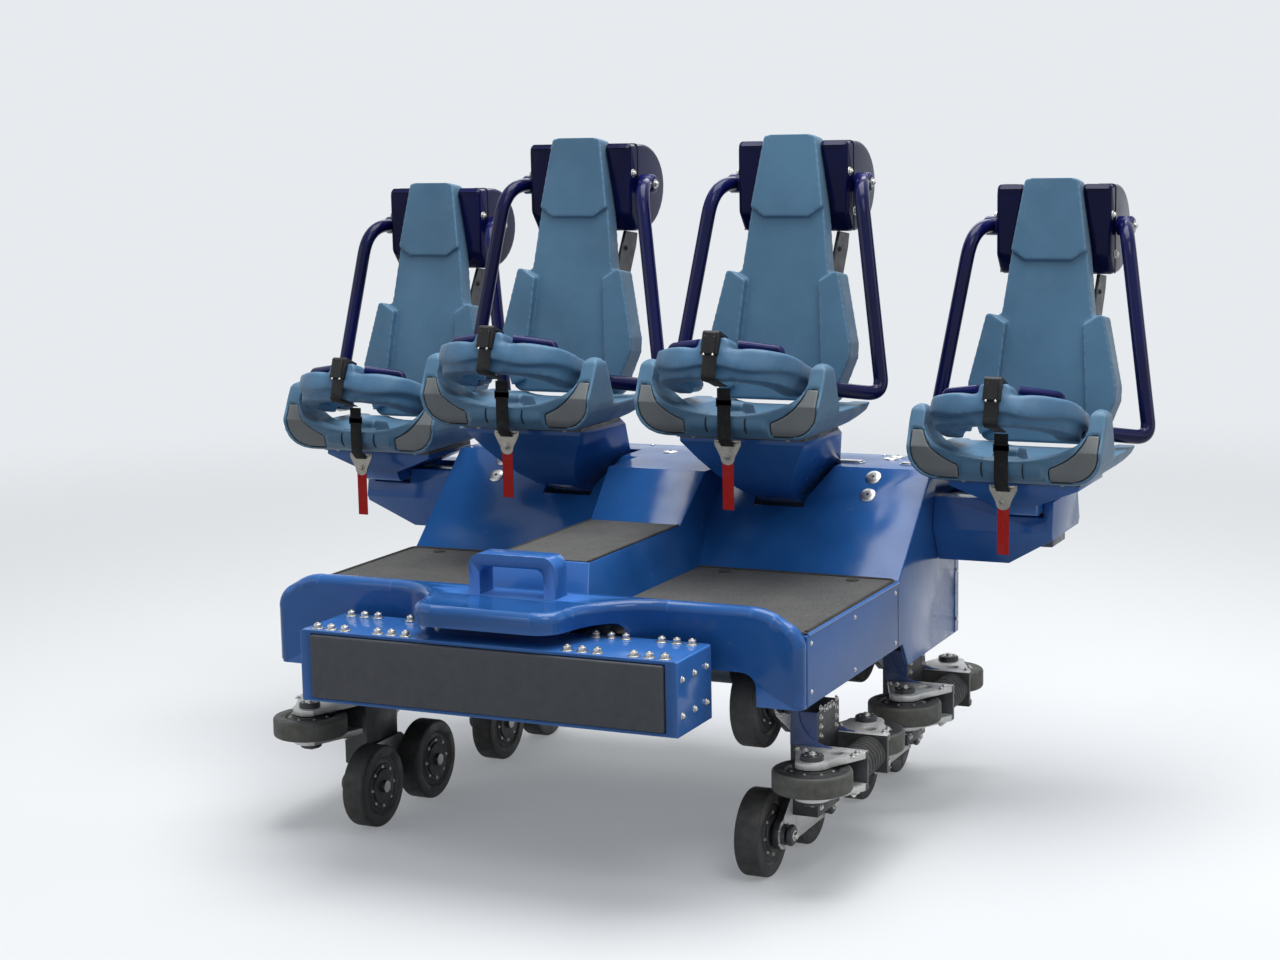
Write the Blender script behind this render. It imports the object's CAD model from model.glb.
"""The looks of a roller coaster car: paint, foam, webbing, wheels and hardware on the CAD frame."""
import math

import bmesh
import bpy
import numpy as np
from mathutils import Matrix, Vector


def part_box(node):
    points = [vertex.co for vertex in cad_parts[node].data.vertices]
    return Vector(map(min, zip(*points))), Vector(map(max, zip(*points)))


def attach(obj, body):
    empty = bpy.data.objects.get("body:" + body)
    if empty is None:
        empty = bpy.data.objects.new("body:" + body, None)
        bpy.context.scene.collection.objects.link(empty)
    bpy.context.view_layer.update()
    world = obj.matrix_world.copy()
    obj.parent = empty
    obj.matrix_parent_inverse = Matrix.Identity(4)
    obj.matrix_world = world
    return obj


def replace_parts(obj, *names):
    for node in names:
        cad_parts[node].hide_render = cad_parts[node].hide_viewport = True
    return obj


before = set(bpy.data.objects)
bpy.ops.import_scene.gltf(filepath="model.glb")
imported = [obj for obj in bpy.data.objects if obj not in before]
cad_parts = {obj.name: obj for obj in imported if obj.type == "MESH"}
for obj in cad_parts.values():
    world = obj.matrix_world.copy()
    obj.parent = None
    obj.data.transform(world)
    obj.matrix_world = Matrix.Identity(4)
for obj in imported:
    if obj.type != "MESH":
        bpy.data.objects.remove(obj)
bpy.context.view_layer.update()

# Places in metres, as in the CAD source

SHIFT = 0.4345
INNER_X, OUTER_X = 0.413, 1.241
OUTER_BACK, OUTER_DROP = 0.377, 0.167
HEAD_Z = 2.297
SEATS = {
    "outer_left": Vector((OUTER_X, SHIFT + OUTER_BACK, HEAD_Z - OUTER_DROP)),
    "inner_left": Vector((INNER_X, SHIFT, HEAD_Z)),
    "inner_right": Vector((-INNER_X, SHIFT, HEAD_Z)),
    "outer_right": Vector((-OUTER_X, SHIFT + OUTER_BACK, HEAD_Z - OUTER_DROP)),
}
RAIL_X, RAIL_Z = 0.71, 0.35
FRONT_BOGIE, REAR_BOGIE = -0.88 + SHIFT, 0.014 + SHIFT
BOGIES = {
    "front_left": (1, FRONT_BOGIE),
    "front_right": (-1, FRONT_BOGIE),
    "rear_left": (1, REAR_BOGIE),
    "rear_right": (-1, REAR_BOGIE),
}
DECK_Z, MAT_Z, HUMP_Z = 1.143, 0.828, 0.98
SHELL_X = 0.93


# Materials

def shader(m):
    return m.node_tree.nodes["Principled BSDF"]


def material(name, colour, roughness, metallic=0.0):
    m = bpy.data.materials.new(name)
    m.use_nodes = True
    b = shader(m)
    b.inputs["Base Color"].default_value = (*colour, 1)
    b.inputs["Roughness"].default_value = roughness
    b.inputs["Metallic"].default_value = metallic
    return m


def node(m, kind, **values):
    """A new node; each value goes to the input of that name, or else to the node's own setting."""
    n = m.node_tree.nodes.new("ShaderNode" + kind)
    for key, value in values.items():
        if key in n.inputs:
            n.inputs[key].default_value = value
        else:
            setattr(n, key, value)
    return n


def link(m, a, b):
    m.node_tree.links.new(a, b)


def coords(m, stretch=(1, 1, 1)):
    """Object coordinates, stretched where a grain or weave runs one way."""
    coord = node(m, "TexCoord")
    mapping = node(m, "Mapping")
    mapping.inputs["Scale"].default_value = stretch
    link(m, coord.outputs["Object"], mapping.inputs["Vector"])
    return mapping.outputs["Vector"]


def noise(m, scale, detail, roughness=0.55, stretch=(1, 1, 1)):
    n = node(m, "TexNoise", Scale=scale, Detail=detail, Roughness=roughness)
    link(m, coords(m, stretch), n.inputs["Vector"])
    return n.outputs["Fac"]


def ramp(m, value, stops):
    r = node(m, "ValToRGB")
    while len(r.color_ramp.elements) < len(stops):
        r.color_ramp.elements.new(0.5)
    for element, (at, colour) in zip(r.color_ramp.elements, stops):
        element.position = at
        element.color = (*colour, 1) if len(colour) == 3 else colour
    link(m, value, r.inputs["Fac"])
    return r.outputs["Color"]


def grey(m, value, low, high, start=0.3, end=0.7):
    """A grey that goes from low to high while the value goes from start to end."""
    return ramp(m, value, [(start, (low,) * 3), (end, (high,) * 3)])


def mix(m, factor, a, b):
    """Colour a where the factor is 0 and b where it is 1; each may be a socket or a plain value."""
    n = node(m, "Mix", data_type="RGBA")
    for socket, value in ((n.inputs[0], factor), (n.inputs[6], a), (n.inputs[7], b)):
        if isinstance(value, bpy.types.NodeSocket):
            link(m, value, socket)
        else:
            socket.default_value = value if isinstance(value, float) else (*value, 1)
    return n.outputs[2]


def colour_from(m, socket):
    link(m, socket, shader(m).inputs["Base Color"])


def roughness_from(m, socket):
    link(m, socket, shader(m).inputs["Roughness"])


def bumps(m, layers):
    """Layers of height, each with strength and depth in metres, on one shader."""
    last = None
    for height, strength, depth in layers:
        b = node(m, "Bump", Strength=strength, Distance=depth)
        link(m, height, b.inputs["Height"])
        if last is not None:
            link(m, last, b.inputs["Normal"])
        last = b.outputs["Normal"]
    link(m, last, shader(m).inputs["Normal"])


def edge_light(m, tint, pale):
    """Convex edges, where the skin is rubbed and catches the sky, a little paler."""
    edges = grey(m, node(m, "NewGeometry").outputs["Pointiness"], 0, 1, 0.515, 0.58)
    return mix(m, edges, tint, pale)


def gel_coat(name, deep, light, waves, coat, gloss, dust=(0.16, 0.17, 0.17), edge=0.03):
    """Glossy moulded glass fibre: slow waves in its reflections, patches of dust and fine scuffs."""
    m = material(name, light, 0.16)
    b = shader(m)
    b.inputs["Specular IOR Level"].default_value = gloss
    b.inputs["Coat Weight"].default_value = coat
    b.inputs["Coat Roughness"].default_value = 0.07
    tint = mix(m, grey(m, noise(m, 2.1, 3), 0, 1, 0.35, 0.65), deep, light)
    scuffs = grey(m, noise(m, 26, 8, 0.7, (1, 1, 0.25)), 0, 0.3, 0.62, 0.8)
    dusty = mix(m, scuffs, tint, mix(m, 0.25, light, dust))
    colour_from(m, edge_light(m, dusty, tuple(1.5 * c + edge for c in light)))
    roughness_from(m, grey(m, noise(m, 11, 6, 0.65), 0.1, 0.3, 0.3, 0.75))
    bumps(m, [
        (noise(m, 5.5, 2), waves, 0.01),
        (noise(m, 420, 2), 0.03, 0.0004),
    ])
    return m


def foam_skin(name, deep, light):
    """Integral-skin foam: a fine leathery grain, a dull sheen and rubbed, slightly greyer patches."""
    m = material(name, light, 0.5)
    b = shader(m)
    b.inputs["Sheen Weight"].default_value = 0.12
    b.inputs["Sheen Roughness"].default_value = 0.5
    b.inputs["Specular IOR Level"].default_value = 0.42
    tint = mix(m, grey(m, noise(m, 3.2, 4), 0, 1, 0.35, 0.68), deep, light)
    rubbed = grey(m, noise(m, 9.5, 7, 0.68), 0, 0.38, 0.55, 0.8)
    worn = mix(m, rubbed, tint, tuple(0.72 * c + 0.1 for c in light))
    specks = grey(m, noise(m, 260, 3, 0.7), 0, 0.32, 0.62, 0.8)
    speckled = mix(m, specks, worn, tuple(0.6 * c for c in deep))
    colour_from(m, edge_light(m, speckled, tuple(1.25 * c + 0.06 for c in light)))
    roughness_from(m, grey(m, noise(m, 14, 5, 0.6), 0.4, 0.62))
    cells = node(m, "TexVoronoi", Scale=620.0)
    link(m, coords(m), cells.inputs["Vector"])
    bumps(m, [
        (noise(m, 24, 3), 0.12, 0.003),
        (cells.outputs["Distance"], 0.22, 0.0005),
        (noise(m, 900, 2), 0.12, 0.0003),
    ])
    return m


def grit_mat(name, low, high):
    """Anti-slip mat: coarse mineral grit with pale worn grains and trodden dust."""
    m = material(name, high, 0.92)
    grains = noise(m, 300, 3, 0.8)
    tint = mix(m, grey(m, grains, 0, 1, 0.36, 0.66), low, high)
    dust = grey(m, noise(m, 5, 6, 0.6), 0, 0.35, 0.45, 0.75)
    colour_from(m, mix(m, dust, tint, (0.17, 0.16, 0.145)))
    roughness_from(m, grey(m, noise(m, 40, 4), 0.82, 1.0))
    bumps(m, [(grains, 0.9, 0.002), (noise(m, 60, 4), 0.2, 0.002)])
    return m


def metal(name, low, high, roughness, grease, metallic=1.0, brush=(1, 1, 12)):
    """Machined or plated metal: brushed one way, with grease and brake dust over it."""
    m = material(name, high, roughness, metallic)
    lines = noise(m, 130, 5, 0.6, brush)
    tint = mix(m, grey(m, lines, 0, 1, 0.3, 0.7), low, high)
    dirt = grey(m, noise(m, 17, 8, 0.66), 0, grease, 0.5, 0.72)
    colour_from(m, mix(m, dirt, tint, (0.03, 0.027, 0.022)))
    roughness_from(m, grey(m, lines, roughness - 0.08, roughness + 0.14))
    bumps(m, [(lines, 0.12, 0.0004), (noise(m, 45, 6), 0.08, 0.001)])
    return m


def dark_paint(name, low, high, roughness=0.42):
    """Painted steel with orange peel, road film and chipped dull spots."""
    m = material(name, high, roughness)
    tint = mix(m, grey(m, noise(m, 6, 5), 0, 1), low, high)
    film = grey(m, noise(m, 30, 8, 0.7), 0, 0.4, 0.52, 0.78)
    colour_from(m, mix(m, film, tint, (0.12, 0.11, 0.1)))
    roughness_from(m, grey(m, noise(m, 19, 6), roughness - 0.12, roughness + 0.16))
    bumps(m, [(noise(m, 380, 2), 0.07, 0.0005), (noise(m, 28, 5), 0.1, 0.0015)])
    return m


def tyre_rubber(name, low, high):
    """Polyurethane tread: dull, with rings worn round it and grey dust."""
    m = material(name, high, 0.66)
    tint = mix(m, grey(m, noise(m, 22, 7, 0.65), 0, 1), low, high)
    colour_from(m, mix(m, grey(m, noise(m, 7, 4), 0, 0.3, 0.5, 0.75), tint, (0.13, 0.115, 0.095)))
    roughness_from(m, grey(m, noise(m, 35, 5), 0.5, 0.78))
    bumps(m, [(noise(m, 90, 5, 0.7), 0.2, 0.0012)])
    return m


def webbing(name, low, high):
    """Woven webbing: ribs about 5 mm apart along it, others 7 mm apart across, and fuzzed threads."""
    m = material(name, high, 0.8)
    b = shader(m)
    b.inputs["Sheen Weight"].default_value = 0.06
    b.inputs["Specular IOR Level"].default_value = 0.25
    along = node(m, "TexWave", Scale=67.74193, Distortion=0.4, bands_direction="Z")
    across = node(m, "TexWave", Scale=46.66667, Distortion=0.6, bands_direction="X")
    for wave in (along, across):
        link(m, coords(m), wave.inputs["Vector"])
    weave = mix(m, 0.5, along.outputs["Color"], across.outputs["Color"])
    tint = mix(m, weave, low, high)
    fuzz = grey(m, noise(m, 34, 5), 0, 0.4, 0.5, 0.8)
    colour_from(m, mix(m, fuzz, tint, tuple(0.5 * c + 0.05 for c in high)))
    bumps(m, [(weave, 0.5, 0.0008), (noise(m, 800, 2), 0.2, 0.0003)])
    return m


def moulded_rubber(name, low, high):
    """A thick rubber pad: even and dull, with rain streaks down it and rubbed corners."""
    m = material(name, high, 0.6)
    streaks = grey(m, noise(m, 14, 6, 0.65, (1, 1, 0.12)), 0, 0.5, 0.45, 0.75)
    tint = mix(m, streaks, low, high)
    colour_from(m, edge_light(m, tint, tuple(1.6 * c + 0.02 for c in high)))
    roughness_from(m, grey(m, noise(m, 30, 6, 0.6), 0.5, 0.72))
    bumps(m, [(noise(m, 300, 3, 0.7), 0.15, 0.0006), (noise(m, 7, 2), 0.08, 0.004)])
    return m


def moulded_plastic(name, colour, roughness):
    """Black plastic with a fine grain and uneven gloss."""
    m = material(name, colour, roughness)
    shader(m).inputs["Specular IOR Level"].default_value = 0.3
    light = tuple(min(1, 1.5 * c + 0.006) for c in colour)
    colour_from(m, mix(m, grey(m, noise(m, 40, 6), 0, 0.6), colour, light))
    roughness_from(m, grey(m, noise(m, 55, 5), roughness - 0.1, roughness + 0.14))
    bumps(m, [(noise(m, 700, 2), 0.12, 0.0003)])
    return m


WALL = gel_coat("wall_gel_coat", (0.012, 0.07, 0.24), (0.02, 0.105, 0.34), waves=0.15, coat=0.06, gloss=0.3)
BODY = gel_coat("body_gel_coat", (0.013, 0.08, 0.27), (0.023, 0.122, 0.39), waves=0.25, coat=0.06, gloss=0.28)
NAVY = gel_coat("navy_gloss", (0.002, 0.003, 0.026), (0.004, 0.006, 0.056),
                waves=0.1, coat=0.0, gloss=0.12, dust=(0.02, 0.022, 0.05), edge=0.006)
TUBE = gel_coat("navy_tube", (0.002, 0.003, 0.034), (0.005, 0.007, 0.072),
                waves=0.03, coat=0.0, gloss=0.2, dust=(0.02, 0.022, 0.06), edge=0.0)
FOAM = foam_skin("seat_foam_skin", (0.055, 0.14, 0.235), (0.08, 0.195, 0.315))
FOAM_DARK = foam_skin("pad_foam_skin", (0.04, 0.12, 0.225), (0.06, 0.17, 0.3))
POD = foam_skin("pod_panel_skin", (0.12, 0.135, 0.142), (0.185, 0.2, 0.205))
MAT = grit_mat("grit_mat", (0.025, 0.025, 0.025), (0.15, 0.149, 0.145))
RIM = grit_mat("mat_rim", (0.014, 0.013, 0.013), (0.05, 0.046, 0.042))
ALU = metal("machined_aluminium", (0.46, 0.46, 0.45), (0.7, 0.7, 0.68), 0.5, grease=0.3, metallic=0.7)
ZINC = metal("plated_hardware", (0.42, 0.41, 0.39), (0.7, 0.69, 0.66), 0.26, grease=0.25, brush=(3, 3, 3))
DISC = metal("stainless_disc", (0.42, 0.42, 0.42), (0.62, 0.62, 0.62), 0.32, grease=0.1, brush=(6, 1, 1))
ANCHOR = metal("anchor_steel", (0.2, 0.19, 0.17), (0.36, 0.345, 0.31), 0.4, grease=0.4, brush=(2, 2, 2))
STEEL = dark_paint("dark_steel", (0.012, 0.013, 0.016), (0.035, 0.038, 0.045))
CHASSIS = dark_paint("chassis_paint", (0.014, 0.03, 0.062), (0.03, 0.058, 0.115), 0.36)
FLANGE = dark_paint("flange_blue", (0.04, 0.075, 0.21), (0.075, 0.125, 0.34), 0.34)
HUB = dark_paint("wheel_hub", (0.01, 0.01, 0.011), (0.03, 0.03, 0.032), 0.5)
TREAD = tyre_rubber("side_tread", (0.05, 0.051, 0.045), (0.115, 0.117, 0.103))
TREAD_DARK = tyre_rubber("dark_tread", (0.014, 0.014, 0.014), (0.04, 0.04, 0.04))
WORN = tyre_rubber("worn_edge", (0.16, 0.15, 0.135), (0.3, 0.285, 0.26))
BUFFER = moulded_rubber("buffer_rubber", (0.012, 0.014, 0.018), (0.028, 0.032, 0.04))
BELT = webbing("black_webbing", (0.003, 0.003, 0.003), (0.016, 0.016, 0.017))
RED = webbing("red_webbing", (0.28, 0.006, 0.006), (0.6, 0.018, 0.014))
PLASTIC = moulded_plastic("black_plastic", (0.005, 0.005, 0.006), 0.38)
GAP = moulded_plastic("black_seal", (0.004, 0.004, 0.005), 0.6)


# Shapes

BEVEL_FROM = 28  # degrees between two faces, from which their edge is rounded
FLAT_WITHIN = 0.4  # degrees within which the CAD mesh's triangles count as one flat face


def ring(radius, number, first=0):
    """Evenly spaced points round a circle, as pairs; first is in degrees."""
    turns = [math.radians(first) + 2 * math.pi * k / number for k in range(number)]
    return [(radius * math.cos(a), radius * math.sin(a)) for a in turns]


def heading(path, k):
    """The direction in which a path runs at its point k."""
    return (path[min(k + 1, len(path) - 1)] - path[max(k - 1, 0)]).normalized()


class Shape:
    """Vertices and faces gathered from small parts before they become one object."""

    def __init__(self):
        self.verts = []
        self.faces = []
        self.slots = []

    def add(self, verts, faces, slot=0):
        start = len(self.verts)
        self.verts += [tuple(p) for p in verts]
        self.faces += [tuple(i + start for i in f) for f in faces]
        self.slots += [slot] * len(faces)

    def skin(self, loops, slot):
        """Loops of points, each joined to the next, with both ends closed."""
        n, last = len(loops[0]), len(loops) - 1
        faces = []
        for start in range(0, last * n, n):
            for i in range(n):
                j = (i + 1) % n
                faces.append((start + i, start + j, start + n + j, start + n + i))
        faces += [tuple(range(n - 1, -1, -1)), tuple(range(last * n, last * n + n))]
        self.add([p for loop in loops for p in loop], faces, slot)

    def revolve(self, at, axis, profile, sides, slot=0):
        """A turned part; profile is (radius, height) from one end to the other."""
        turn = Vector((0, 0, 1)).rotation_difference(Vector(axis).normalized()).to_matrix()
        loops = []
        for r, h in profile:
            loops.append([Vector(at) + turn @ Vector((x, y, h)) for x, y in ring(r, sides)])
        self.skin(loops, slot)

    def bolt(self, at, axis, r, h=None, slot=0):
        """A washer, a chamfered hexagon head and, on all but the smallest, the stub of a thread."""
        h = h or 0.75 * r
        along = Vector(axis).normalized()
        washer = [(1.45 * r, 0), (1.45 * r, 0.16 * r), (1.36 * r, 0.22 * r)]
        self.revolve(at, axis, washer, 20 if r > 0.007 else 14, slot)
        top = Vector(at) + along * 0.2 * r
        self.revolve(top, axis, [(r, 0), (r, 0.8 * h), (0.86 * r, h)], 6, slot)
        if r > 0.005:
            stub = [(0.45 * r, 0), (0.45 * r, 0.3 * h), (0.36 * r, 0.36 * h)]
            self.revolve(top + along * h * 0.9, axis, stub, 14, slot)

    def sweep(self, path, r, sides, slot=0):
        """A round tube of radius r along a path, with closed ends."""
        path = [Vector(p) for p in path]
        loops = []
        normal = None
        for k, p in enumerate(path):
            ahead = heading(path, k)
            if normal is None:
                normal = ahead.orthogonal().normalized()
            normal = (normal - ahead * normal.dot(ahead)).normalized()
            side = ahead.cross(normal)
            loops.append([p + (u * normal + v * side) for u, v in ring(r, sides)])
        self.skin(loops, slot)

    def slab(self, outline, height, place=None, slot=0):
        """A flat outline given height along its own z axis; place is the matrix that puts it there."""
        m = place or Matrix.Identity(4)
        self.skin([[m @ Vector((x, y, z)) for x, y in outline] for z in (0, height)], slot)

    def strip(self, path, across, thick, slot):
        """A flat strap with thinned edges along a path; across is half its width as a vector."""
        path = [Vector(p) for p in path]
        across = Vector(across)
        loops = []
        for k, p in enumerate(path):
            ahead = heading(path, k)
            up = ahead.cross(across).normalized() * thick / 2
            edge = across * 0.94
            loops.append([p - across, p - edge + up, p + edge + up, p + across, p + edge - up, p - edge - up])
        self.skin(loops, slot)

    def moved(self, by, mirrored=False):
        """A copy, mirrored in x if asked, then moved."""
        out = Shape()
        flip = -1 if mirrored else 1
        out.verts = [(flip * v[0] + by[0], v[1] + by[1], v[2] + by[2]) for v in self.verts]
        out.faces = [f[::-1] if mirrored else f for f in self.faces]
        out.slots = list(self.slots)
        return out

    def make(self, name, materials, body, bevel=0.0, slot=None, sharp=38):
        """The parts as one object of the scene, with a bevel of one segment if there is one."""
        mesh = bpy.data.meshes.new(name)
        mesh.from_pydata(self.verts, [], self.faces)
        mesh.validate()
        bm = bmesh.new()
        bm.from_mesh(mesh)
        bmesh.ops.recalc_face_normals(bm, faces=bm.faces)
        bm.to_mesh(mesh)
        bm.free()
        for m in materials:
            mesh.materials.append(m)
        for polygon, k in zip(mesh.polygons, self.slots):
            polygon.material_index = k
        return finished(name, mesh, body, bevel, 1, sharp)


def rounded_path(points, radii, steps):
    """A path whose inner corners are curves that start and end where an arc of that radius would."""
    points = [Vector(p) for p in points]
    out = [points[0]]
    for k in range(1, len(points) - 1):
        a, b, c = points[k - 1], points[k], points[k + 1]
        u, v = (b - a).normalized(), (c - b).normalized()
        turn = u.angle(v)
        cut = radii[k - 1] * math.tan(turn / 2)
        start, end = b - u * cut, b + v * cut
        for i in range(steps + 1):
            t = i / steps
            out.append((1 - t) ** 2 * start + 2 * t * (1 - t) * b + t * t * end)
    return out + [points[-1]]


def in_scene(name, data):
    """A new object of the scene that shows this data."""
    obj = bpy.data.objects.new(name, data)
    bpy.context.scene.collection.objects.link(obj)
    return obj


def baked(obj):
    """The object with its modifiers applied."""
    mesh = bpy.data.meshes.new_from_object(obj.evaluated_get(bpy.context.evaluated_depsgraph_get()))
    old = obj.data
    obj.modifiers.clear()
    obj.data = mesh
    bpy.data.meshes.remove(old)
    return obj


def finished(name, mesh, body, bevel, segments, sharp=38, clamp=True):
    """A mesh as an object that rides on a body, with its edges rounded; sharp is in degrees."""
    obj = in_scene(name, mesh)
    if bevel:
        mod = obj.modifiers.new("edges", "BEVEL")
        mod.width = bevel
        mod.segments = segments
        mod.limit_method = "ANGLE"
        mod.angle_limit = math.radians(BEVEL_FROM)
        mod.use_clamp_overlap = clamp
        baked(obj)
    obj.data.shade_smooth()
    obj.data.set_sharp_from_angle(angle=math.radians(sharp))
    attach(obj, body)
    return obj


def cad_mesh(source, keep, shift=(0, 0, 0)):
    """A copy of a CAD node's mesh, or of the faces of it that keep() accepts, with flat triangles joined."""
    bm = bmesh.new()
    bm.from_mesh(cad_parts[source].data)
    bmesh.ops.remove_doubles(bm, verts=bm.verts, dist=2e-5)
    if keep:
        gone = [f for f in bm.faces if not keep(f.calc_center_median())]
        bmesh.ops.delete(bm, geom=gone, context="FACES")
    bmesh.ops.dissolve_limit(bm, angle_limit=math.radians(FLAT_WITHIN), verts=bm.verts, edges=bm.edges)
    bmesh.ops.translate(bm, verts=bm.verts, vec=shift)
    bmesh.ops.recalc_face_normals(bm, faces=bm.faces)
    mesh = bpy.data.meshes.new(source + "_dressed")
    bm.to_mesh(mesh)
    bm.free()
    return mesh


def dress(source, materials, bevel, segments, body="car", pick=None, keep=None, clamp=True):
    """A CAD node with rounded edges and its real finishes, in place of the plain one.

    pick() gives the number of a face's material, and keep() says which faces stay.
    """
    mesh = cad_mesh(source, keep)
    for m in materials:
        mesh.materials.append(m)
    if pick:
        for polygon in mesh.polygons:
            polygon.material_index = pick(polygon.center, polygon.normal)
    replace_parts(finished(source + "_dressed", mesh, body, bevel, segments, clamp=clamp), source)


def voxelled(mesh, name, voxel, smooth, share=1.0):
    """Moulded foam: the plain form remeshed, its edges melted round, then thinned out to a share."""
    obj = in_scene(name, mesh)
    remesh = obj.modifiers.new("remesh", "REMESH")
    remesh.mode = "VOXEL"
    remesh.voxel_size = voxel
    soften = obj.modifiers.new("soften", "SMOOTH")
    soften.factor = 0.5
    soften.iterations = smooth
    if share < 1:
        thin = obj.modifiers.new("thin", "DECIMATE")
        thin.ratio = share
    return baked(obj)


# Lap pads

PAD_AT, PAD_TILT = Vector((0, -0.596, -0.815)), math.radians(19)
PAD_FRONT, PAD_REAR, PAD_HALF_W, PAD_LEG_W, PAD_T = 0.152, 0.15, 0.258, 0.112, 0.096
PAD_CORNER = 0.02
CUT_Z = 0.04
LOWER_INSET, LOWER_T = 0.02, 0.05
SEAM_Z, SEAM_REACH = 0.042, 0.022
WAVE, WAVE_DROP, WAVE_TURN = 0.009, 0.006, 23
CROWN, CROWN_FROM_Z, CROWN_HALF_W = 0.006, 0.08, 0.26
CLOTH_FRAMES, CLOTH_PRESSURE, EVEN_ROUNDS, MOVE_CAP = 20, 4.0, 24, 0.008
pad_frame = Matrix.Translation(PAD_AT) @ Matrix.Rotation(-PAD_TILT, 4, "X")
to_inner_left = tuple(-c for c in SEATS["inner_left"])


def on_pad(x, y, z):
    """A point of the tilted pad in the seat's own frame."""
    return pad_frame @ Vector((x, y, z))


def oval(cx, cy, rx, ry, a, b, steps):
    """Points on an ellipse from a to b degrees."""
    turns = [math.radians(a + (b - a) * i / steps) for i in range(steps + 1)]
    return [(cx + rx * math.cos(t), cy + ry * math.sin(t)) for t in turns]


def both_sides(half):
    """An outline from its right half."""
    return half + [(-x, y) for x, y in reversed(half)]


def pad_outline(inset):
    """The lap pad's plan, as in the CAD source, drawn in by an inset."""
    front, rear, wide = PAD_FRONT - inset, PAD_REAR - inset, PAD_HALF_W - inset
    leg, r = PAD_LEG_W - 2 * inset, PAD_CORNER
    return both_sides(
        [(0, -front), (0.06, -front)]
        + oval(0.06, 0.01, wide - 0.06, front + 0.01, -84, 0, 12)
        + oval(wide - r, rear - r, r, r, 10, 90, 4)
        + oval(wide - leg + r, rear - r, r, r, 90, 180, 4)
        + oval(0.04, 0.01, wide - leg - 0.04, 0.06 + inset, 0, -90, 8))


def pad_form():
    """The pad's crowned upper half over a lower half that is drawn in under it."""
    bm = bmesh.new()
    bm.from_mesh(cad_mesh("lap_pad_inner_left", None, to_inner_left))
    bmesh.ops.transform(bm, matrix=pad_frame.inverted(), verts=bm.verts)
    everything = bm.verts[:] + bm.edges[:] + bm.faces[:]
    cut = bmesh.ops.bisect_plane(bm, geom=everything, plane_co=(0, 0, CUT_Z), plane_no=(0, 0, 1),
                                 clear_inner=True)
    bmesh.ops.edgeloop_fill(bm, edges=[e for e in cut["geom_cut"] if isinstance(e, bmesh.types.BMEdge)])
    shape = Shape()
    shape.add([v.co for v in bm.verts], [[v.index for v in f.verts] for f in bm.faces])
    bm.free()
    shape.slab(pad_outline(LOWER_INSET), LOWER_T)
    mesh = bpy.data.meshes.new("pad_form")
    mesh.from_pydata(shape.verts, [], shape.faces)
    obj = voxelled(mesh, "pad_form", voxel=0.006, smooth=12)
    # Slow waves run along the seam between the halves, and the top is a little crowned.
    for v in obj.data.vertices:
        p = v.co
        wave = WAVE * math.cos(WAVE_TURN * p.x) - WAVE_DROP
        crown = CROWN * (1 - (p.x / CROWN_HALF_W) ** 2) if p.z > CROWN_FROM_Z else 0
        v.co.z += wave * math.exp(-((p.z - SEAM_Z) / SEAM_REACH) ** 2) + crown
    obj.data.transform(pad_frame)
    obj.data.update()
    return obj


def evened(mesh, values, rounds):
    """Values at the vertices, drawn halfway to their neighbours' mean a few times over."""
    ends = np.empty(2 * len(mesh.edges), dtype=np.int32)
    mesh.edges.foreach_get("vertices", ends)
    a, b = ends[0::2], ends[1::2]
    count = np.bincount(ends, minlength=len(values))[:, None]
    for _ in range(rounds):
        total = np.zeros_like(values)
        np.add.at(total, a, values[b])
        np.add.at(total, b, values[a])
        values = (values + total / count) / 2
    return values


def puffed(obj):
    """A short cloth run with pressure inside. Foam has no wrinkles, so the moves are evened out.

    No point ends up further than MOVE_CAP from its start.
    """
    start = np.array([v.co for v in obj.data.vertices])
    cloth = obj.modifiers.new("cloth", "CLOTH")
    cloth.settings.use_pressure = True
    cloth.settings.uniform_pressure_force = CLOTH_PRESSURE
    cloth.settings.effector_weights.gravity = 0
    cloth.settings.quality = 5
    cloth.point_cache.frame_end = CLOTH_FRAMES
    for f in range(1, CLOTH_FRAMES + 1):
        bpy.context.scene.frame_set(f)
    baked(obj)
    bpy.context.scene.frame_set(1)
    moved = evened(obj.data, np.array([v.co for v in obj.data.vertices]) - start, EVEN_ROUNDS)
    far = np.linalg.norm(moved, axis=1, keepdims=True)
    moved *= np.minimum(1, MOVE_CAP / np.maximum(far, 1e-9))
    obj.data.vertices.foreach_set("co", (start + moved).astype(np.float32).ravel())
    obj.data.update()


# Seats

def copies_at_seats(proto, base, finish, source, body="car"):
    """The same moulding at each seat; source and body may hold {} for the seat's name."""
    for seat, at in SEATS.items():
        mesh = proto.data.copy()
        mesh.transform(Matrix.Translation(at))
        mesh.materials.clear()
        mesh.materials.append(finish)
        mesh.shade_smooth()
        obj = in_scene(f"{base}_{seat}", mesh)
        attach(obj, body.format(seat))
        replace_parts(obj, source.format(seat))
    bpy.data.objects.remove(proto)


def is_inner_left(c):
    """True for a face's centre on the inner left seat."""
    return 0.03 < c.x < 0.80


def inner_left(source):
    """The inner left seat's solid of a node, moved to the seat's own frame."""
    return cad_mesh(source, is_inner_left, to_inner_left)


def pod_seals(pods):
    """A black seal that shows as a dark line round each grey panel."""
    width, sunk = 0.0055, 0.0045
    shape = Shape()
    for at in SEATS.values():
        rim = []
        for v in pods.data.vertices:
            n = v.normal
            rim.append(v.co + at + Vector((width * n.x, sunk if n.y < -0.2 else 0, width * n.z)))
        shape.add(rim, [tuple(p.vertices) for p in pods.data.polygons])
    return shape


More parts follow.
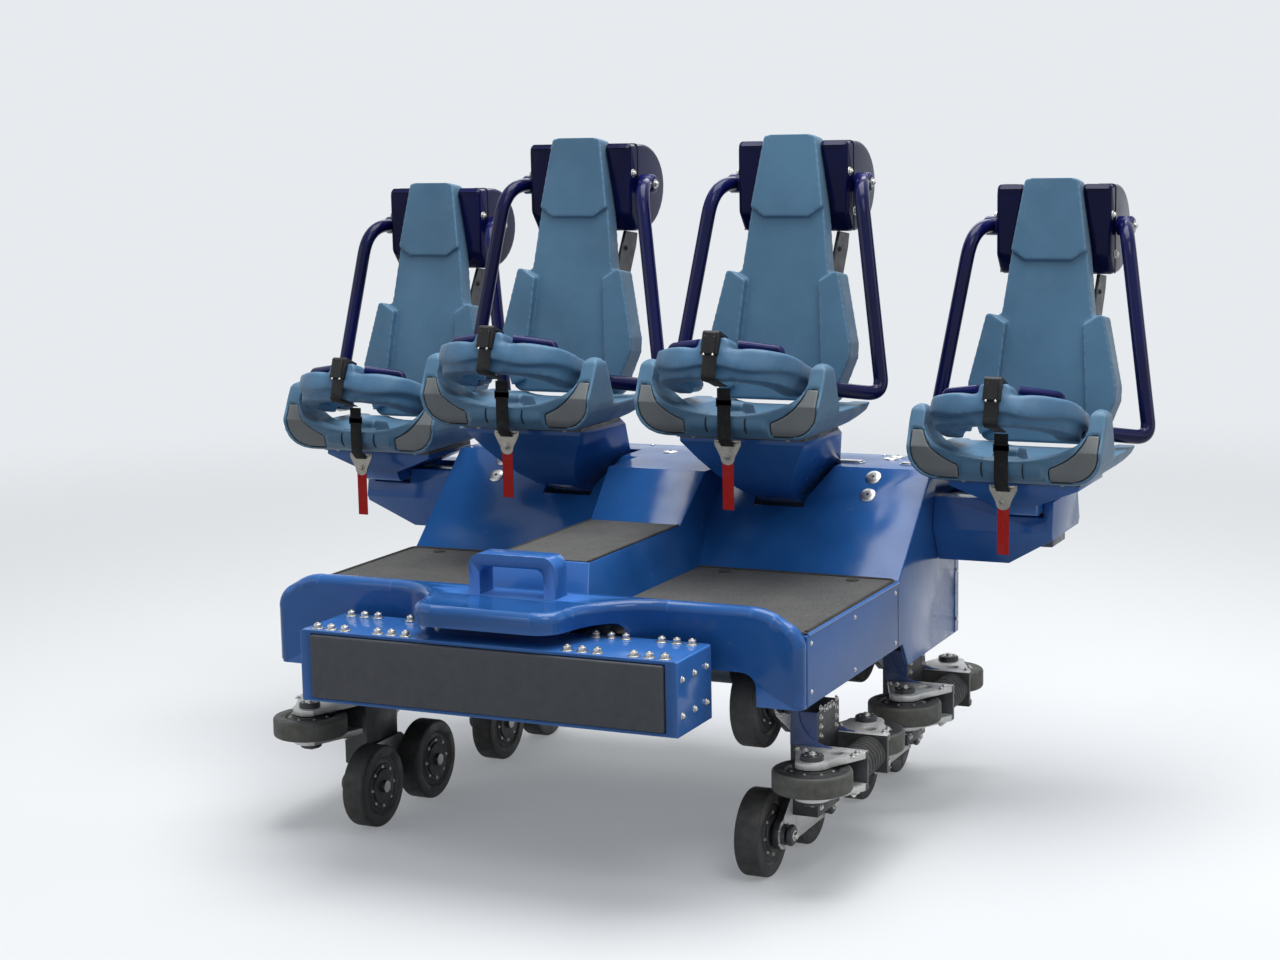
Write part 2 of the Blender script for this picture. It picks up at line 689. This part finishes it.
backs = voxelled(inner_left("seat_backs"), "back_form", voxel=0.0045, smooth=6, share=0.28)
copies_at_seats(backs, "back_cushion", FOAM, "seat_backs")
pans = voxelled(inner_left("seat_pans"), "pan_form", voxel=0.0045, smooth=7, share=0.28)
copies_at_seats(pans, "pan_cushion", FOAM, "seat_pans")
pads = pad_form()
puffed(pads)
copies_at_seats(pads, "lap_pad_cushion", FOAM_DARK, "lap_pad_{}", "restraint_{}")
pods = voxelled(inner_left("pan_pods"), "pod_form", voxel=0.0035, smooth=7, share=0.3)
pod_seals(pods).make("pod_seals", [GAP], "car", slot="pod_panel")
copies_at_seats(pods, "pod_panel", POD, "pan_pods")


# Restraints

HINGE_Y, HINGE_Z = 0.1, -0.17
HUB_IN, HUB_OUT, HUB_R = 0.210, 0.262, 0.034
TUBE_R, GRIP_R = 0.025, 0.014
TUBE_CORNERS = ((0.271, -0.035, -0.168), (0.383, -0.135, -0.879), (0.238, -0.285, -0.848))
TUBE_BENDS = (0.13, 0.05, 0.07, 0.02)
ARM_X, ARM_END_Y, ARM_FOOT_Y = 0.214, 0.18, 0.148
GRIP_TOP = PAD_T + 0.026
GRIP_CORNERS = ((0.068, -0.1, GRIP_TOP), (0.196, -0.034, GRIP_TOP), (0.196, -0.034, PAD_T))
STRAP_HALF_W = 0.024
BUCKLE_HALF_W = 0.0305


def restraint_tubes():
    """Each side's bent tube from its hinge down to the pad, and the two grips on the pad."""
    shape = Shape()
    up = pad_frame.to_3x3() @ Vector((0, 0, 1))
    hub_len = HUB_OUT - HUB_IN
    barrel = [(HUB_R - 0.003, 0), (HUB_R, 0.003), (HUB_R, hub_len - 0.003), (HUB_R - 0.003, hub_len)]
    for side in (-1, 1):
        path = [(side * (HUB_IN + HUB_OUT) / 2, HINGE_Y, HINGE_Z)]
        path += [(side * x, y, z) for x, y, z in TUBE_CORNERS]
        path += [on_pad(side * ARM_X, y, PAD_T / 2) for y in (ARM_END_Y, ARM_FOOT_Y)]
        shape.sweep(rounded_path(path, TUBE_BENDS, 10), TUBE_R, 28)
        shape.revolve((side * HUB_IN, HINGE_Y, HINGE_Z), (side, 0, 0), barrel, 40)
        grip = [on_pad(side * x, y, z) for x, y, z in GRIP_CORNERS]
        shape.sweep(rounded_path(grip, [0.02], 8), GRIP_R, 20)
        shape.revolve(grip[-1], up, [(0.02, 0), (0.02, 0.004), (0.015, 0.008)], 24, 1)
    return shape


def buckle_box(seat):
    """The black box and strap of one restraint, with rounded edges."""
    x = SEATS[seat].x
    mesh = cad_mesh("restraint_" + seat, lambda c: abs(c.x - x) < BUCKLE_HALF_W)
    mesh.materials.append(PLASTIC)
    finished("buckle_box_" + seat, mesh, "restraint_" + seat, 0.003, 2)


def buckle_hardware():
    """Rivets, a recessed cover and the strap under the pad that meets the lower strap."""
    shape = Shape()
    front = -PAD_FRONT - 0.023
    upright = Matrix.Rotation(math.radians(90), 4, "X")
    place = Matrix.Translation(on_pad(0, front, 0.084)) @ Matrix.Rotation(-PAD_TILT, 4, "X") @ upright
    cover = [(-0.021, -0.012), (0.021, -0.012), (0.021, 0.05), (0.015, 0.056),
             (-0.015, 0.056), (-0.021, 0.05)]
    shape.slab(cover, 0.005, place)
    forward = pad_frame.to_3x3() @ Vector((0, -1, 0))
    for x in (-0.016, 0.016):
        for z, height in ((0.068, 0.004), (0.128, 0.003)):
            rivet = [(0.0045, 0), (0.0045, height), (0.002, height + 0.002)]
            shape.revolve(on_pad(x, front, z), forward, rivet, 16, 1)
    path = [on_pad(0, y - PAD_FRONT, z) for y, z in ((-0.006, 0.02), (-0.008, -0.004), (0.006, -0.012))]
    path += [on_pad(0, y, z) for y, z in ((-0.1, -0.007), (-0.04, -0.006))]
    shape.strip(path, (STRAP_HALF_W, 0, 0), 0.004, 2)
    return shape


def hub_caps():
    """The cap and the bolt on the end of each hinge pin."""
    shape = Shape()
    for side in (-1, 1):
        cap = [(0.030, -0.004), (0.030, 0.003), (0.026, 0.006)]
        shape.revolve((side * HUB_OUT, HINGE_Y, HINGE_Z), (side, 0, 0), cap, 32, 1)
        shape.bolt((side * (HUB_OUT + 0.004), HINGE_Y, HINGE_Z), (side, 0, 0), 0.012)
    return shape


for seat, at in SEATS.items():
    body = "restraint_" + seat
    tubes = restraint_tubes().moved(at)
    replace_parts(tubes.make("restraint_tubes_" + seat, [TUBE, GAP], body, 0, "navy_paint", 50), body)
    buckle_box(seat)
    buckle_hardware().moved(at).make("buckle_" + seat, [PLASTIC, ZINC, BELT], body, 0.0008)
    hub_caps().moved(at).make("hub_caps_" + seat, [ZINC, TUBE], body, 0.0006)


# Seat hardware

HOUSING_HALF_W = 0.2045
SEAM_LINE_R = 0.0022
ROLL_Y, ROLL_Z, ROLL_R = -0.576, -0.936, 0.0338
BELT_Y, SLIDER_HALF_W = -0.6145, 0.026
ANCHOR_Y, ANCHOR_T, ANCHOR_BOLT_Z, ANCHOR_R = -0.583, 0.006, -1.046, 0.026


def near_seat(c):
    """True on a housing and false on its hinge pins, which stand out at its sides."""
    return any(abs(c.x - at.x) < HOUSING_HALF_W for at in SEATS.values())


def housing_bolts():
    """The housing's two bolts on each side and the black ones on its brackets."""
    # x, y, z, radius, number of the material
    bolts = (
        (0.204, 0.046, -0.130, 0.011, 0),
        (0.204, 0.094, -0.268, 0.011, 0),
        (0.1515, 0.085, -0.40, 0.008, 1),
        (0.1515, 0.045, -0.52, 0.008, 1),
    )
    shape = Shape()
    for side in (-1, 1):
        for x, y, z, r, slot in bolts:
            shape.bolt((side * x, y, z), (side, 0, 0), r, slot=slot)
    return shape


def housing_seams():
    """The parting line between each housing's front band and the lobe behind it."""
    shape = Shape()
    y, top = 0.088, -0.0252
    for side in (-1, 1):
        x = side * HOUSING_HALF_W
        path = [(x, y, -0.335), (x, y, top), (side * 0.146, y, top)]
        shape.sweep(rounded_path(path, [0.0155], 8), SEAM_LINE_R, 10)
    return shape


def roll_seams():
    """Dark seams between the segments of the padded roll along the pan's front."""
    shape = Shape()
    turns = np.linspace(1.9, 4.9, 16)
    for x in (-0.07, 0, 0.07):
        curve = [(x, ROLL_Y + ROLL_R * math.cos(a), ROLL_Z + ROLL_R * math.sin(a)) for a in turns]
        shape.sweep(curve, SEAM_LINE_R, 8)
    return shape


def lower_belt():
    """Strap with its slider, three-cornered anchor with its bolt, and the tray that the pan sits on."""
    shape = Shape()
    top = on_pad(0, -0.02, 0).z - 0.008
    path = [(0, BELT_Y - 0.001, top), (0, BELT_Y - 0.002, -0.9), (0, BELT_Y - 0.001, -0.985),
            (0, -0.598, -1.004), (0, -0.588, -1.012)]
    shape.strip(path, (STRAP_HALF_W, 0, 0), 0.0045, 0)
    for z in (top - 0.045, top - 0.05):
        slider = [(x, BELT_Y - 0.002, z) for x in (-SLIDER_HALF_W, SLIDER_HALF_W)]
        shape.strip(slider, (0, 0, 0.012), 0.009, 0)
    turns = np.linspace(-1.1, 1.1, 9)
    plate = [(-0.047, -0.992), (-0.047, -1.008), (-0.026, -1.048)]
    plate += [(ANCHOR_R * math.sin(a), -1.05 - ANCHOR_R * math.cos(a)) for a in turns]
    plate += [(0.026, -1.048), (0.047, -1.008), (0.047, -0.992), (0.036, -0.992), (0.033, -1.002),
              (-0.033, -1.002), (-0.036, -0.992)]
    upright = Matrix.Translation((0, ANCHOR_Y, 0)) @ Matrix.Rotation(math.radians(90), 4, "X")
    shape.slab(plate, ANCHOR_T, upright, 1)
    shape.bolt((0, ANCHOR_Y - ANCHOR_T, ANCHOR_BOLT_Z), (0, -1, 0), 0.0095, slot=1)
    shape.revolve((-0.04, ANCHOR_Y - ANCHOR_T, -0.996), (1, 0, 0), [(0.005, 0), (0.005, 0.08)], 12, 1)
    tray = [(-0.232, -0.478), (0.232, -0.478), (0.232, -0.16), (-0.232, -0.16)]
    shape.slab(tray, 0.013, Matrix.Translation((0, 0, -1.004)), 2)
    for x in (-0.17, 0.17):
        shape.bolt((x, -0.479, -0.998), (0, -1, 0), 0.006, slot=1)
    return shape


dress("head_housings", [NAVY], 0.015, 5, keep=near_seat, clamp=False)
dress("hinge_brackets", [STEEL], 0.002, 1)
dress("seat_pedestals", [BODY], 0.01, 3)
dress("belt_tails", [RED], 0.001, 1)
for seat, at in SEATS.items():
    roll_seams().moved(at).make("roll_seams_" + seat, [GAP], "car")
    housing_seams().moved(at).make("housing_seams_" + seat, [GAP], "car")
    housing_bolts().moved(at).make("housing_bolts_" + seat, [ZINC, STEEL], "car", 0.0006)
    belt = lower_belt().moved(at)
    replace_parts(belt.make("lower_belt_" + seat, [BELT, ANCHOR, STEEL], "car", 0.0008, "webbing"), "belts")


# Body and chassis

FLOOR_FRONT, FLOOR_REAR = -1.22 + SHIFT, -0.365 + SHIFT
PANEL_UP = Vector((0, 0.365, 0.325)).normalized()
PANEL_OUT = Vector((0, -PANEL_UP.z, PANEL_UP.y))
UP = Vector((0, 0, 1))


def body_colour(centre, normal):
    """The side walls have the darker of the two gel coats."""
    return 1 if abs(normal.x) > 0.9 else 0


dress("body_shell", [BODY, WALL], 0.009, 3, pick=body_colour)
dress("nose", [BODY], 0.003, 2)
dress("wing_panels", [BODY, WALL], 0.009, 3, pick=body_colour)
dress("floor_mats", [MAT], 0.003, 2)
dress("front_buffer", [BODY], 0.005, 3)
dress("buffer_pad", [BUFFER], 0.006, 3)
dress("chassis", [CHASSIS], 0.003, 2)
dress("seat_beam", [CHASSIS], 0.004, 2)


def disc_cover(shape, at, out, socket):
    """A flush silver cover, with a dark hexagon socket in it or plain."""
    shape.revolve(at, out, [(0.029, -0.002), (0.029, 0.002), (0.025, 0.0045), (0.012, 0.0062)], 32)
    if socket:
        shape.revolve(at + out * 0.005, out, [(0.006, 0), (0.006, 0.0025)], 6, 1)


def oval_cover(shape, x, y):
    """A flush stadium-shaped cover in two steps."""
    half = [(0.036 + 0.018 * math.cos(a), 0.018 * math.sin(a)) for a in np.linspace(-1.57, 1.57, 12)]
    outline = half + [(-px, -py) for px, py in half]
    for grow, z in ((1, -0.002), (0.86, 0.003)):
        place = Matrix.Translation((x, y, DECK_Z + z))
        shape.slab([(grow * px, grow * py) for px, py in outline], 0.005, place)


def deck_hardware():
    """Flush silver covers on the deck and the sloped panels, and the deck's small screws."""
    shape = Shape()
    screw = [(0.007, -0.001), (0.007, 0.002), (0.004, 0.0035)]
    for side in (-1, 1):
        for x, y in ((0.71, 0.213), (0.719, 0.262), (0.117, 0.13)):
            disc_cover(shape, Vector((side * x, y + SHIFT, DECK_Z)), UP, True)
        for x, y in ((0.598, 0.098), (0.83, 0.103)):
            oval_cover(shape, side * x, y + SHIFT)
        for along in (0.045, 0.125):
            at = Vector((side * 0.728, SHIFT, DECK_Z)) - PANEL_UP * along
            disc_cover(shape, at, PANEL_OUT, True)
        for x, y in ((0.9, 0.285), (0.9, 0.03), (0.26, 0.285), (0.46, 0.285), (0.66, 0.285)):
            shape.revolve((side * x, y + SHIFT, DECK_Z), UP, screw, 16)
    for x in (-0.07, 0.07):
        disc_cover(shape, Vector((x, 0.285 + SHIFT, DECK_Z)), UP, False)
    return shape


def mat_trim():
    """The dark rolled edge of each mat, its two discs and the pale bead along the body's rim."""
    shape = Shape()
    disc = [(0.021, -0.001), (0.021, 0.003), (0.017, 0.0045)]
    rear = FLOOR_REAR - 0.014
    for side in (-1, 1):
        inner, outer = side * 0.21, side * 0.922
        loop = [(inner, rear, MAT_Z), (outer, rear, MAT_Z), (outer, FLOOR_FRONT + 0.008, MAT_Z)]
        shape.sweep(rounded_path(loop, [0.03], 6), 0.0055, 12)
        for x in (0.33, 0.79):
            shape.revolve((side * x, rear - 0.05, MAT_Z), UP, disc, 28)
        bead = [(side * (SHELL_X - 0.0035), y, MAT_Z - 0.009) for y in (FLOOR_REAR, FLOOR_FRONT + 0.004)]
        shape.sweep(bead, 0.0065, 12, 1)
    for side in (-1, 1):
        edge = [(side * 0.166, y + SHIFT, HUMP_Z + 0.003) for y in (-1.144, -0.446)]
        shape.sweep(edge, 0.004, 10)
    return shape


def nose_hardware():
    """The rows of bolts on the buffer block's top and at its ends."""
    shape = Shape()
    for side in (-1, 1):
        for y in (-1.328, -1.528):
            for x in (0.28, 0.33, 0.38, 0.50, 0.55, 0.60):
                shape.bolt((side * x, y + SHIFT, 0.79), UP, 0.0135, 0.013)
        for z in (0.62, 0.73):
            for y in (-1.34, -1.43, -1.52):
                shape.bolt((side * 0.65, y + SHIFT, z), (side, 0, 0), 0.008)
    return shape


def wall_hardware():
    """Panel joints and screws on the side walls and the rear wall."""
    # y and the two ends' z of each joint, then y and z of each screw
    joints = ((0.268, 0.516, 1.128), (-0.372, 0.8, 0.6))
    screws = ((0.289, 0.56), (0.289, 0.74), (0.289, 0.92), (0.289, 1.09), (-1.19, 0.64),
              (-0.8, 0.62), (-0.4, 0.62), (-0.8, 0.79), (-0.4, 0.79), (-1.19, 0.79))
    shape = Shape()
    for side in (-1, 1):
        for y, *ends in joints:
            shape.sweep([(side * (SHELL_X - 0.0002), y + SHIFT, z) for z in ends], 0.0016, 6, 1)
        for y, z in screws:
            shape.bolt((side * SHELL_X, y + SHIFT, z), (side, 0, 0), 0.0055, 0.003)
    for x in (-0.8, -0.5, -0.2, 0.2, 0.5, 0.8):
        for z in (0.56, 1.1):
            shape.bolt((x, 0.31 + SHIFT, z), (0, 1, 0), 0.0065, 0.004)
    return shape


deck_hardware().make("deck_covers", [DISC, STEEL], "car", 0.0008, "body_paint")
mat_trim().make("mat_edges", [RIM, WALL], "car", 0, "grip_mat")
nose_hardware().make("buffer_bolts", [ZINC], "car", 0.0008, "body_paint")
wall_hardware().make("wall_screws", [ZINC, GAP], "car", 0.0006, "body_paint")


# Running gear

SIDE_LOCAL, ROAD_LOCAL, UPSTOP_LOCAL = 0.197, 0.217, 0.211
ROAD_GAP, SIDE_GAP, UPSTOP_GAP = 0.195, 0.25, 0.18
PLATE_OUT, SIDE_TOP = 0.074, 0.061
POST_X = 0.158
WHEEL_RIM = 0.0385


def bogie_faces(side, y):
    """Which finish each face of a bogie has: plates, dark forgings, the blue flange or the pivot's rings."""
    plates, forgings, flange, rings = range(4)

    def pick(centre, normal):
        x, along, z = side * centre.x - RAIL_X, centre.y - y, centre.z - RAIL_Z
        if abs(along) < 0.0895 and math.hypot(x - SIDE_LOCAL - 0.066, z) < 0.0575:
            return rings
        if 0.097 < abs(along) < 0.113 and z > SIDE_TOP - 0.001:
            return flange
        if x < PLATE_OUT + 0.001 and abs(z) > 0.1 and abs(normal.x) > 0.5:
            return plates
        if 0.04 < abs(z) < 0.0615 and x > 0.09:
            return plates
        return forgings
    return pick


def axle_ends(shape, end):
    """Caps and bolts on the side plate at the road and up-stop axles of one end."""
    cap = [(0.034, -0.002), (0.034, 0.006), (0.029, 0.011), (0.016, 0.0125)]
    for y, z in ((ROAD_GAP, ROAD_LOCAL), (UPSTOP_GAP, -UPSTOP_LOCAL)):
        at = Vector((PLATE_OUT + 0.024, end * y, z))
        shape.revolve(at, (1, 0, 0), cap, 32, 1)
        shape.bolt(at + Vector((0.012, 0, 0)), (1, 0, 0), 0.012)
        for dy, dz in ring(0.043, 6, 30):
            shape.bolt((PLATE_OUT, end * y + dy, z + dz), (1, 0, 0), 0.0048)


def side_wheel_ends(shape, end, z):
    """The lid, its bolts and the nuts on one of the two plates that hold a side wheel."""
    lid = [(0.034, -0.002), (0.034, 0.001), (0.031, 0.003), (0.016, 0.0035)]
    at = Vector((SIDE_LOCAL, end * SIDE_GAP, z * (SIDE_TOP + 0.0145)))
    shape.revolve(at, (0, 0, z), lid, 32, 1)
    shape.bolt(at + Vector((0, 0, z * 0.003)), (0, 0, z), 0.011, 0.006)
    for dx, dy in ring(0.026, 6):
        shape.bolt(at + Vector((dx, dy, z * 0.002)), (0, 0, z), 0.0036, 0.002)
    for x, y in ((0.115, 0.16), (0.14, 0.16), (0.3, 0.13), (0.3, 0.165)):
        shape.bolt((x, end * y, z * SIDE_TOP), (0, 0, z), 0.008)


def bogie_hardware():
    """Bearing caps with their bolts, nuts on the side plates and the bolts that hold the post."""
    shape = Shape()
    for end in (-1, 1):
        axle_ends(shape, end)
        for z in (-1, 1):
            side_wheel_ends(shape, end, z)
        for z in (0.085, 0.115, 0.145, 0.175, -0.085, -0.115, -0.145):
            shape.bolt((POST_X, end * 0.07, z), (1, 0, 0), 0.0075)
    for y in (-0.03, 0, 0.03):
        shape.bolt((POST_X, y, 0.165), (1, 0, 0), 0.009)
    return shape


def wheel_faces(centre, axis, radius):
    """Tread, the pale worn line at its edge, or hub, by distance from the axle."""
    tread, hub, worn = range(3)

    def pick(at, normal):
        off = at - centre
        r = (off - axis * off.dot(axis)).length
        if r > radius - WHEEL_RIM:
            return tread
        return worn if r > radius - WHEEL_RIM - 0.005 else hub
    return pick


def wheel_hub(centre, axis, radius, width):
    """The stepped hub face with its ring of screws, on both sides of a wheel."""
    shape = Shape()
    across = axis.orthogonal().normalized()
    other = axis.cross(across)
    edge = radius - 0.046
    steps = [(edge, 0), (edge, 0.003), (edge - 0.006, 0.005), (0.078, 0.005), (0.074, 0.009), (0.061, 0.009)]
    for end in (-1, 1):
        face = centre + axis * end * (width / 2 - 0.0105)
        shape.revolve(face, axis * end, steps, 40)
        for u, v in ring(0.068, 8):
            shape.bolt(face + axis * end * 0.0085 + across * u + other * v, axis * end, 0.0042, slot=1)
    return shape


def wheel(source):
    """One wheel: its tyre and hub from the CAD's box, on the body of the same name."""
    low, high = (Vector(p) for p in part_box(source))
    centre, size = (low + high) / 2, high - low
    lies_flat = source.startswith("side")
    axis = UP if lies_flat else Vector((1, 0, 0))
    radius = size.y / 2
    finishes = [TREAD if lies_flat else TREAD_DARK, HUB, WORN]
    dress(source, finishes, 0.0015, 1, source, wheel_faces(centre, axis, radius))
    hub = wheel_hub(centre, axis, radius, size.dot(axis) - 0.008)
    hub.make("hub_" + source, [HUB, ZINC], source, 0, "wheel_tyre")


for name, (side, y) in BOGIES.items():
    finishes = [ALU, STEEL, FLANGE, TREAD_DARK]
    dress("bogie_" + name, finishes, 0.002, 2, pick=bogie_faces(side, y))
    bolts = bogie_hardware().moved((0, 0, 0), mirrored=side < 0).moved((side * RAIL_X, y, RAIL_Z))
    bolts.make("bogie_bolts_" + name, [ZINC, STEEL], "car", 0.0006, "bogie_steel")
for source in sorted(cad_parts):
    if "_wheel_" in source:
        wheel(source)


# Stage, light and camera

SKY = (0.8, 0.83, 0.86)
FLOOR_HALF = 60


def seen_rays(tree):
    """1 for rays from the camera and for those that metal and glass send on, else 0."""
    rays = tree.nodes.new("ShaderNodeLightPath")
    total = rays.outputs["Is Camera Ray"]
    for name in ("Is Glossy Ray", "Is Transmission Ray"):
        add = tree.nodes.new("ShaderNodeMath")
        add.operation = "ADD"
        add.use_clamp = True
        tree.links.new(total, add.inputs[0])
        tree.links.new(rays.outputs[name], add.inputs[1])
        total = add.outputs[0]
    return total


def stage():
    """A pale floor that fades into the sky, so that no horizon shows."""
    mesh = bpy.data.meshes.new("floor")
    corners = ((-1, -1), (1, -1), (1, 1), (-1, 1))
    mesh.from_pydata([(FLOOR_HALF * x, FLOOR_HALF * y, 0) for x, y in corners], [], [(0, 1, 2, 3)])
    floor = in_scene("floor", mesh)
    m = material("floor_paint", (0.74, 0.75, 0.76), 0.9)
    mesh.materials.append(m)
    # Seen directly the floor is pale, but it throws less light up on the car than that.
    pale = seen_rays(m.node_tree)
    colour_from(m, mix(m, pale, (0.36, 0.365, 0.37), (0.8, 0.81, 0.82)))
    # Away from the car the camera sees the floor in the sky's own colour.
    far = node(m, "VectorMath", operation="LENGTH")
    link(m, coords(m), far.inputs[0])
    fade = node(m, "MapRange", interpolation_type="SMOOTHSTEP")
    fade.inputs["From Min"].default_value = 2.5
    fade.inputs["From Max"].default_value = 11
    fade.inputs["To Min"].default_value = 0.25
    link(m, far.outputs["Value"], fade.inputs["Value"])
    both = node(m, "Math", operation="MULTIPLY")
    link(m, fade.outputs["Result"], both.inputs[0])
    link(m, pale, both.inputs[1])
    glow = node(m, "Emission", Color=(*SKY, 1), Strength=1.0)
    choose = node(m, "MixShader")
    link(m, both.outputs[0], choose.inputs[0])
    link(m, shader(m).outputs[0], choose.inputs[1])
    link(m, glow.outputs[0], choose.inputs[2])
    link(m, choose.outputs[0], m.node_tree.nodes["Material Output"].inputs[0])


def sky():
    """A pale even background for the camera and in reflections, and a softer light for everything else."""
    world = bpy.data.worlds.new("world")
    bpy.context.scene.world = world
    world.use_nodes = True
    tree = world.node_tree
    seen = tree.nodes.new("ShaderNodeBackground")
    seen.inputs[0].default_value = (*SKY, 1)
    seen.inputs[1].default_value = 1
    light = tree.nodes["Background"]
    light.inputs[0].default_value = (0.86, 0.9, 0.95, 1)
    light.inputs[1].default_value = 0.32
    choose = tree.nodes.new("ShaderNodeMixShader")
    tree.links.new(seen_rays(tree), choose.inputs[0])
    tree.links.new(light.outputs[0], choose.inputs[1])
    tree.links.new(seen.outputs[0], choose.inputs[2])
    tree.links.new(choose.outputs[0], tree.nodes["World Output"].inputs[0])


def turned_to(at, to):
    """The turn that points a lamp or a camera from one place to another."""
    return (Vector(to) - Vector(at)).to_track_quat("-Z", "Y")


def area_light(name, at, to, size, power):
    light = bpy.data.lights.new(name, "AREA")
    light.shape = "RECTANGLE"
    light.size, light.size_y = size
    light.energy = power
    obj = in_scene(name, light)
    obj.location = at
    obj.rotation_euler = turned_to(at, to).to_euler()


def camera():
    """The photo's view from the right, in front and above, rolled as the photo is."""
    data = bpy.data.cameras.new("camera")
    data.sensor_width = 36
    data.lens = 64
    obj = in_scene("camera", data)
    at, aim = Vector((3.2965, -7.02, 2.3335)), Vector((0.02, 0, 1.13))
    obj.location = at
    roll = Matrix.Rotation(math.radians(1.1), 4, (aim - at).normalized())
    obj.rotation_euler = (roll @ turned_to(at, aim).to_matrix().to_4x4()).to_euler()
    bpy.context.scene.camera = obj


stage()
area_light("top", (0.6, 0.4, 7.5), (0, 0, 1), (5, 5), 520)
area_light("key", (4.5, -5.0, 7.5), (0, 0, 1), (3.5, 3.5), 170)
area_light("fill", (-6, -5, 3.5), (0, 0, 1), (5, 3), 45)
area_light("back", (-2, 6, 6), (0, 0, 1.2), (5, 3), 130)
area_light("side", (7, 1.5, 3), (0, 0, 1), (3, 3), 30)
camera()
sky()
bpy.context.scene.view_settings.view_transform = "Standard"
